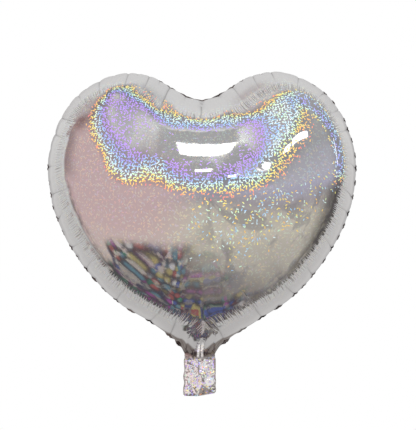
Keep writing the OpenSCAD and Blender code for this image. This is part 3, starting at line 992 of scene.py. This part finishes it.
    # painted glow: the colour is given out as light where the dashes are painted lit, on the neck's pleats and on the
    # tail's bright facets
    g.put(bsdf.inputs["Emission Color"], col)
    shine = g.math("MULTIPLY", on, g.math("MULTIPLY", g.remap(deg, 34.0, 44.0, 0.62, 0.30), g.math("MULTIPLY_ADD", on_tail, 0.25, 1.0)))
    shine = g.math("MAXIMUM", shine, g.math("MULTIPLY", pleat_highlight, 0.34))
    shine = g.math("MAXIMUM", shine, g.math("MULTIPLY", tail_glint, g.math("MULTIPLY", bare, 0.26)))
    g.put(bsdf.inputs["Emission Strength"], shine)
    smudge = g.add("ShaderNodeTexNoise")
    g.put(smudge.inputs["Vector"], mm)
    smudge.inputs["Scale"].default_value = 0.02
    smudge.inputs["Detail"].default_value = 4
    haze = g.math("MULTIPLY", g.math("MULTIPLY", g.remap(deg, 30.0, 20.0, 0.0, 0.30), g.math("MULTIPLY_ADD", g.math("MULTIPLY", plain, g.remap(cut.outputs[0], 186.0, 216.0, 0.0, 1.0)), -1.0, 1.0)), g.remap(d_mm, 30.0, 50.0, 0.0, 1.0))
    haze = g.math("MULTIPLY", haze, g.math("MAXIMUM", g.remap(face.outputs[0], 0.04, 0.10, 1.0, 0.0), g.remap(cut.outputs[0], 225.0, 250.0, 1.0, 0.0)))
    du = g.math("DIVIDE", g.math("SUBTRACT", cut.outputs[0], 307.0), 20.0)
    dv = g.math("DIVIDE", g.math("SUBTRACT", cut.outputs[1], 488.0), 11.0)
    haze = g.math("MAXIMUM", haze, g.remap(g.math("ADD", g.math("MULTIPLY", du, du), g.math("MULTIPLY", dv, dv)), 0.6, 1.3, 0.35, 0.0))
    haze = g.math("MULTIPLY", haze, g.math("SUBTRACT", 1.0, clear))
    haze = g.math("MAXIMUM", haze, g.remap(cut.outputs[1], 538.0, 556.0, 0.0, 0.34))
    gloss = g.math("ADD", g.remap(smudge.outputs[0], 0.3, 0.7, 0.022, 0.055), haze)
    g.put(bsdf.inputs["Roughness"], g.math("MULTIPLY_ADD", on, 0.2, gloss))
    # relief: sharp creases, fine puckers round the gathered band, and each dash tilted its own way
    h = g.math("MULTIPLY", g.math("MULTIPLY", teeth, tall), 0.6)
    h = g.math("MULTIPLY_ADD", crease_relief_and_shade, -0.55, h)
    tilt = g.math("ADD", g.math("MULTIPLY", m1, g.math("SUBTRACT", t1, 0.5)), g.math("MULTIPLY", m2, g.math("SUBTRACT", t2, 0.5)))
    h = g.math("MULTIPLY_ADD", tilt, 0.002, h)
    fibre = g.add("ShaderNodeTexNoise")
    g.put(fibre.inputs["Vector"], mm)
    fibre.inputs["Scale"].default_value = 0.8
    fibre.inputs["Detail"].default_value = 2
    h = g.math("MULTIPLY_ADD", fibre.outputs[0], 0.002, h)
    crumple = g.add("ShaderNodeTexVoronoi", voronoi_dimensions="2D", feature="F1", distance="MINKOWSKI")
    g.put(crumple.inputs["Vector"], mm)
    crumple.inputs["Scale"].default_value = 0.16
    crumple.inputs["Exponent"].default_value = 1.1
    h = g.math("MULTIPLY_ADD", g.math("MULTIPLY", crumple.outputs["Distance"], on_tail), 1.3, h)
    bump = g.add("ShaderNodeBump")
    bump.inputs["Strength"].default_value = 1.0
    bump.inputs["Distance"].default_value = 0.001
    g.put(bump.inputs["Height"], h)
    g.put(bsdf.inputs["Normal"], bump.outputs[0])
    return mat


def weld_material(name, lo, hi):
    mat = bpy.data.materials.new(name)
    nt, bsdf = nodes_of(mat)
    g = Graph(nt)
    uv = g.add("ShaderNodeUVMap", uv_map="film").outputs[0]
    mm = g.vec("SCALE", uv, scale=500.0)
    rib = g.add("ShaderNodeTexWave", wave_type="BANDS", bands_direction="X")
    g.put(rib.inputs["Vector"], mm)
    rib.inputs["Scale"].default_value = 0.55
    rib.inputs["Distortion"].default_value = 1.2
    n = g.add("ShaderNodeTexNoise")
    g.put(n.inputs["Vector"], mm)
    n.inputs["Scale"].default_value = 0.35
    n.inputs["Detail"].default_value = 3
    g.put(bsdf.inputs["Base Color"], g.ramp(n.outputs[0], [(0.3, lo), (0.7, hi)]))
    bsdf.inputs["Metallic"].default_value = 0.9
    g.put(bsdf.inputs["Roughness"], g.remap(n.outputs[0], 0.3, 0.7, 0.22, 0.38))
    bump = g.add("ShaderNodeBump")
    bump.inputs["Strength"].default_value = 0.5
    bump.inputs["Distance"].default_value = 0.0002
    g.put(bump.inputs["Height"], g.math("ADD", rib.outputs["Fac"], n.outputs[0]))
    g.put(bsdf.inputs["Normal"], bump.outputs[0])
    return mat


FOIL = foil("foil")
WELD = weld_material("weld", (0.09, 0.075, 0.07), (0.27, 0.25, 0.24))
TAIL_WELD = weld_material("tail_weld", (0.42, 0.40, 0.39), (0.80, 0.79, 0.78))
UV = np.c_[P[:, 0], P[:, 1]] / 500 + 0.5
MAPS = [{"gather": np.c_[S, D] / 1000, "crease": np.c_[L_[0] / 100 + 0.5, L_[1]]} for L_ in LINES]
front_ob = link("front_panel", panels[0], TRI, FOIL, UV, MAPS[0])
back_ob = link("back_panel", panels[1], TRI[:, ::-1], FOIL, UV * [1, 1] + [0.013, 0.031], MAPS[1])
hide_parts("front_film", "tail_front_film")
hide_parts("back_film", "tail_back_film")

# the weld's flange: it stands out past the film, most where a pinch draws the film in
edge = panels[0][:SHARED]
t = np.gradient(curve_smooth(edge, 3, STEP, np.zeros(SHARED)), axis=0)
t /= np.linalg.norm(t, axis=1)[:, None]
outw = curve_smooth(mid_n, 4, STEP, np.zeros(SHARED))
outw /= np.linalg.norm(outw, axis=1)[:, None]
pinched = np.zeros(SHARED)
for k in every:
    pinched = np.maximum(pinched, np.exp(-(np.abs(rim_s - k) / 6.0) ** 2.2))
pinched *= smooth_step((rim_z - 6) / 10)
lean = np.zeros(SHARED)
for i, k in enumerate(every):
    lean += rng.uniform(-1, 1) * np.exp(-(np.abs(rim_s - k) / 6) ** 1.5)
# most of it shows on the right and low on the left, least over the lobes and in the cleft
rx, rz = edge[:, 0], edge[:, 2]
shown = 1.05 - 0.70 * np.exp(-(rx / 34) ** 2) * smooth_step((rz - 230) / 40)
shown -= 0.65 * smooth_step((-rx - 20) / 50) * smooth_step((rz - 215) / 60)
shown -= 0.35 * smooth_step((rx - 20) / 30) * smooth_step((rz - 300) / 20)
fl_w = 0.25 + 3.1 * pinched * shown
fl_w = np.where(rim_z > 4, fl_w, 0.9)
rows = 4


def strip(lo, hi, name):
    sel = np.arange(lo, hi)
    pts, uvs, faces = [], [], []
    for r in range(rows + 1):
        q = r / rows
        w = fl_w[sel] * q
        ang = lean[sel] * 0.8 * q
        p = edge[sel] + outw[sel] * (w * np.cos(ang))[:, None]
        p[:, 1] += w * np.sin(ang) + 0.35 * q * np.sin(rim_s[sel] / 2.1)
        if r == 0:
            p = edge[sel] - outw[sel] * 0.8
        pts.append(p)
        uvs.append(np.c_[rim_s[sel] / 500, w / 500])
    pts, uvs = np.vstack(pts), np.vstack(uvs)
    k = len(sel)
    for r in range(rows):
        for i in range(k - 1):
            a, b = r * k + i, r * k + i + 1
            faces.append((a, b, b + k, a + k))
    # both faces of the strip, 0.24 mm apart
    nrm = np.cross(t[sel], outw[sel])
    nrm /= np.linalg.norm(nrm, axis=1)[:, None]
    nn = np.vstack([nrm] * (rows + 1)) * 0.12
    m_ = len(pts)
    two = np.vstack([pts + nn, pts - nn])
    fs = [tuple(reversed(f)) for f in faces] + [tuple(i + m_ for i in f) for f in faces]
    ring = list(range(k)) + [r * k + k - 1 for r in range(1, rows + 1)] + [rows * k + i for i in range(k - 2, -1, -1)] + \
           [r * k for r in range(rows - 1, 0, -1)]
    for a, b in zip(ring, ring[1:] + ring[:1]):
        fs.append((a, b, b + m_, a + m_))
    ob = link(name, two, fs, WELD if name == "weld_flange" else TAIL_WELD, np.vstack([uvs, uvs]))
    return ob


i_lo = int(np.argmax(rim_z > 5.0))
i_hi = SHARED - i_lo
seam = strip(i_lo, i_hi, "weld_flange")
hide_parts("perimeter_seal")
right_tail = strip(1, i_lo + 1, "tail_weld_right")
left_tail = strip(i_hi - 1, SHARED - 1, "tail_weld_left")
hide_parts("tail_edge_seals")
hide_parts("tail_edge_seals")

# ---------------------------------------------------------------- inner pieces keep their CAD shape
def plain(name, colour, rough, alpha=1.0, trans=0.0, scale=600.0):
    mat = bpy.data.materials.new(name)
    nt, bsdf = nodes_of(mat)
    g = Graph(nt)
    co = g.add("ShaderNodeTexCoord").outputs["Object"]
    n = g.add("ShaderNodeTexNoise")
    g.put(n.inputs["Vector"], co)
    n.inputs["Scale"].default_value = scale
    n.inputs["Detail"].default_value = 4
    lo = tuple(c * 0.86 for c in colour)
    g.put(bsdf.inputs["Base Color"], g.ramp(n.outputs[0], [(0.3, lo), (0.7, colour)]))
    g.put(bsdf.inputs["Roughness"], g.remap(n.outputs[0], 0.3, 0.7, rough * 0.8, rough * 1.3))
    bsdf.inputs["Transmission Weight"].default_value = trans
    bsdf.inputs["Alpha"].default_value = alpha
    bump = g.add("ShaderNodeBump")
    bump.inputs["Strength"].default_value = 0.3
    bump.inputs["Distance"].default_value = 0.0001
    g.put(bump.inputs["Height"], n.outputs[0])
    g.put(bsdf.inputs["Normal"], bump.outputs[0])
    return mat


VALVE = plain("valve_film", (0.82, 0.85, 0.87), 0.16, 1.0, 0.5, 300)
PRINT = plain("release_print", (0.32, 0.48, 0.72), 0.6, 1.0, 0.0, 900)
SEAL = plain("sealant", (0.66, 0.67, 0.70), 0.35, 1.0, 0.0, 500)
for node_name, mat in (("valve_front_film", VALVE), ("valve_back_film", VALVE), ("valve_edge_seals", VALVE),
                       ("valve_release_print", PRINT), ("neck_seal_front", SEAL), ("neck_seal_back", SEAL)):
    me = frame["nodes"][node_name].data
    me.materials.clear()
    me.materials.append(mat)

# ---------------------------------------------------------------- bodies
for o in (front_ob, back_ob, right_tail, left_tail):
    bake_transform(o)
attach(seam, "balloon")

# ---------------------------------------------------------------- studio
def floor():
    ring = [(math.cos(a) * r, math.sin(a) * r) for r in (0.4, 1.0, 2.4) for a in np.linspace(0, 2 * math.pi, 65)[:-1]]
    vs = [(0, 0, 0)] + [(x, y, 0) for x, y in ring]
    fs = [(0, 1 + i, 1 + (i + 1) % 64) for i in range(64)]
    for k in range(2):
        for i in range(64):
            a, b = 1 + k * 64 + i, 1 + k * 64 + (i + 1) % 64
            fs.append((a, a + 64, b + 64, b))
    me = bpy.data.meshes.new("floor")
    me.from_pydata(vs, [], fs)
    ob = bpy.data.objects.new("floor", me)
    ob.location = (0, 0, -0.62)
    bpy.context.scene.collection.objects.link(ob)
    mat = bpy.data.materials.new("floor")
    nt, bsdf = nodes_of(mat)
    g = Graph(nt)
    n = g.add("ShaderNodeTexNoise")
    g.put(n.inputs["Vector"], g.add("ShaderNodeTexCoord").outputs["Object"])
    n.inputs["Scale"].default_value = 6
    g.put(bsdf.inputs["Base Color"], g.ramp(n.outputs[0], [(0.3, (0.80, 0.78, 0.75)), (0.7, (0.84, 0.825, 0.80))]))
    bsdf.inputs["Roughness"].default_value = 0.75
    me.materials.append(mat)
    ob.visible_glossy = False                            # the foil mirrors the painted surroundings instead


floor()


def world():
    w = bpy.data.worlds.new("studio")
    bpy.context.scene.world = w
    w.use_nodes = True
    g = Graph(w.node_tree)
    bg = w.node_tree.nodes["Background"]
    dirn = g.add("ShaderNodeTexCoord").outputs["Generated"]
    xyz = g.add("ShaderNodeSeparateXYZ")
    g.put(xyz.inputs[0], dirn)
    x, y, z = xyz.outputs
    # behind the balloon: the white sweep, dimmer to the sides and below, and darker again straight behind
    up_here = g.remap(z, -1.0, 1.0, 0.0, 1.0)
    rear = g.ramp(up_here, [(0.0, (0.66, 0.645, 0.63)), (0.5, (0.80, 0.79, 0.775)), (1.0, (0.95, 0.95, 0.935))])
    rear = g.mix(g.remap(y, 0.80, 0.97, 0.0, 0.75), rear, (0.36, 0.35, 0.36, 1))
    # in front: the dim room the foil mirrors, grey overhead, pink to the left, beige low down
    room = g.ramp(up_here, [(0.0, (0.30, 0.27, 0.25)), (0.05, (0.58, 0.54, 0.47)), (0.18, (0.80, 0.75, 0.63)), (0.30, (0.72, 0.67, 0.58)), (0.38, (0.55, 0.51, 0.52)),
                            (0.48, (0.60, 0.58, 0.70)), (0.58, (0.62, 0.61, 0.68)), (0.68, (0.56, 0.55, 0.60)), (0.80, (0.49, 0.49, 0.505)), (1.0, (0.55, 0.55, 0.55))])
    pink = g.math("MULTIPLY", g.remap(x, 0.05, -0.5, 0.0, 1.0), g.math("MULTIPLY", g.remap(z, -0.85, -0.35, 0.0, 1.0), g.remap(z, 0.97, 0.62, 0.0, 1.0)))
    room = g.mix(g.math("MULTIPLY", pink, 0.95), room, (0.78, 0.575, 0.57, 1))
    round_ = g.add("ShaderNodeCombineXYZ")                # so that a spot stays round in the curved film
    g.put(round_.inputs[0], g.math("MULTIPLY", g.math("ARCTAN2", z, x), 1.3))
    g.put(round_.inputs[1], g.math("MULTIPLY", g.math("ARCCOSINE", g.math("MULTIPLY", y, -1.0)), 1.3))
    patch = g.add("ShaderNodeTexNoise")
    g.put(patch.inputs["Vector"], round_.outputs[0])
    patch.inputs["Scale"].default_value = 7.0
    patch.inputs["Detail"].default_value = 4
    patch.inputs["Roughness"].default_value = 0.6
    wide = g.add("ShaderNodeTexNoise")
    g.put(wide.inputs["Vector"], dirn)
    wide.inputs["Scale"].default_value = 2.3
    wander = g.math("MULTIPLY_ADD", wide.outputs[0], 0.9, -0.45)
    low = g.math("MULTIPLY", g.remap(g.math("ADD", z, wander), -0.46, -0.60, 0.0, 1.0), g.remap(g.math("ADD", x, wander), 0.34, -0.26, 0.0, 1.0))
    low = g.math("MULTIPLY", low, g.math("MULTIPLY", g.remap(x, -0.90, -0.76, 0.0, 1.0), g.remap(z, -0.50, -0.60, 0.0, 1.0)))
    low = g.math("MAXIMUM", low, g.remap(g.math("MULTIPLY_ADD", wander, 0.3, z), -0.86, -0.97, 0.0, 1.0))
    dark = g.math("MULTIPLY", g.remap(patch.outputs[0], 0.36, 0.50, 0.25, 1.0), g.math("MULTIPLY", low, 0.93))
    dots = g.add("ShaderNodeTexVoronoi", voronoi_dimensions="3D", feature="F1")
    g.put(dots.inputs["Vector"], round_.outputs[0])
    dots.inputs["Scale"].default_value = 8.0
    tint = g.add("ShaderNodeSeparateColor")
    g.put(tint.inputs[0], dots.outputs["Color"])
    # soft darker shapes over the rest of it, to the right
    soft = g.add("ShaderNodeTexNoise")
    g.put(soft.inputs["Vector"], round_.outputs[0])
    soft.inputs["Scale"].default_value = 2.6
    soft.inputs["Detail"].default_value = 3
    soft = g.math("MULTIPLY", g.remap(soft.outputs[0], 0.50, 0.58, 0.0, 0.42), g.math("MULTIPLY", g.remap(x, -0.15, 0.15, 0.0, 1.0), g.remap(z, 0.05, -0.25, 0.0, 1.0)))
    room = g.mix(soft, room, (0.24, 0.235, 0.27, 1))
    murk = g.ramp(tint.outputs[0], [(0.0, (0.07, 0.22, 0.16)), (0.16, (0.10, 0.13, 0.33)), (0.32, (0.32, 0.10, 0.30)), (0.46, (0.34, 0.12, 0.12)),
                                    (0.60, (0.42, 0.36, 0.17)), (0.72, (0.60, 0.58, 0.58)), (0.84, (0.13, 0.24, 0.30))], "CONSTANT")
    murk = g.mix(g.remap(dots.outputs["Distance"], 0.22, 0.62, 0.0, 0.85), murk, (0.075, 0.065, 0.08, 1))
    room = g.mix(dark, room, murk)
    # a soft upright shadow out to the left
    corner = g.math("MULTIPLY", g.remap(x, -0.72, -0.93, 0.0, 1.0), g.math("MULTIPLY", g.remap(y, -0.55, 0.05, 0.0, 1.0), g.remap(z, -0.10, 0.15, 0.0, 1.0)))
    room = g.mix(g.math("MULTIPLY", corner, 0.6), room, (0.20, 0.15, 0.15, 1))
    corner = g.math("MULTIPLY", g.remap(x, 0.70, 0.92, 0.0, 1.0), g.math("MULTIPLY", g.remap(y, -0.50, 0.10, 0.0, 1.0), g.remap(z, 0.0, -0.2, 0.0, 1.0)))
    room = g.mix(g.math("MULTIPLY", corner, 0.75), room, (0.12, 0.11, 0.10, 1))
    corner = g.math("MULTIPLY", g.remap(x, -0.22, -0.50, 0.0, 1.0), g.math("MULTIPLY", g.remap(y, -0.62, -0.15, 0.0, 1.0), g.remap(z, 0.45, 0.70, 0.0, 1.0)))
    room = g.mix(g.math("MULTIPLY", corner, 0.9), room, (0.27, 0.155, 0.15, 1))
    # low down and out to the sides it is in shade
    shade = g.math("MULTIPLY", g.remap(y, -0.15, 0.18, 0.0, 1.0), g.remap(z, 0.25, -0.30, 0.0, 1.0))
    shade = g.math("MULTIPLY", shade, g.remap(patch.outputs[0], 0.40, 0.55, 0.25, 1.0))
    room = g.mix(shade, room, (0.11, 0.10, 0.10, 1))
    edge = g.math("ADD", y, g.math("MULTIPLY", g.remap(z, 0.55, 1.0, 0.0, 1.0), 0.24))
    edge = g.math("ADD", edge, g.remap(x, 0.45, 0.80, 0.20, 0.04))
    tone = g.mix(g.remap(edge, 0.24, 0.34, 0.0, 1.0), room, rear)
    path = g.add("ShaderNodeLightPath")
    g.put(bg.inputs[0], g.mix(path.outputs["Is Camera Ray"], tone, (1.0, 1.0, 1.0, 1)))
    bg.inputs[1].default_value = 1.0


world()


def area(loc, look, size, size_y, power, colour=(1, 1, 1)):
    l = bpy.data.lights.new("soft", "AREA")
    l.shape = "RECTANGLE"
    l.size, l.size_y = size, size_y
    l.energy = power
    l.color = colour
    o = bpy.data.objects.new("soft", l)
    o.location = loc
    o.rotation_mode = "QUATERNION"
    o.rotation_quaternion = (Vector(look) - Vector(loc)).to_track_quat("-Z", "Y")
    bpy.context.scene.collection.objects.link(o)


area((-0.005, -0.662, 1.572), (0.0, -0.09, 0.24), 0.43, 0.116, 0.38)     # long ceiling panel
area((0.00, -1.07, 1.31), (0, -0.09, 0.24), 0.24, 0.12, 0.25)          # a second, smaller one
area((0.745, -1.075, 1.045), (0.107, -0.09, 0.247), 0.46, 0.14, 0.55)  # window, high on the right
area((0.462, -1.250, 0.982), (0.075, -0.09, 0.222), 0.13, 0.13, 0.14)
area((1.56, -0.05, 0.54), (0.15, -0.05, 0.22), 0.03, 0.40, 0.09)

cam = bpy.data.cameras.new("camera")
cam.lens = 105
cam.sensor_width = 36
cam.clip_start, cam.clip_end = 0.01, 50
ob = bpy.data.objects.new("camera", cam)
far = 0.430 * 1.1613 * 105 / 36
ob.location = (0.0065, -far, 0.1650)
ob.rotation_euler = (math.radians(90), math.radians(0.0), 0)
ob.rotation_euler.rotate_axis("Z", math.radians(-0.5))
bpy.context.scene.collection.objects.link(ob)
bpy.context.scene.camera = ob
bpy.context.scene.view_settings.view_transform = "Standard"
bpy.context.scene.view_settings.look = "None"

bpy.context.view_layer.update()
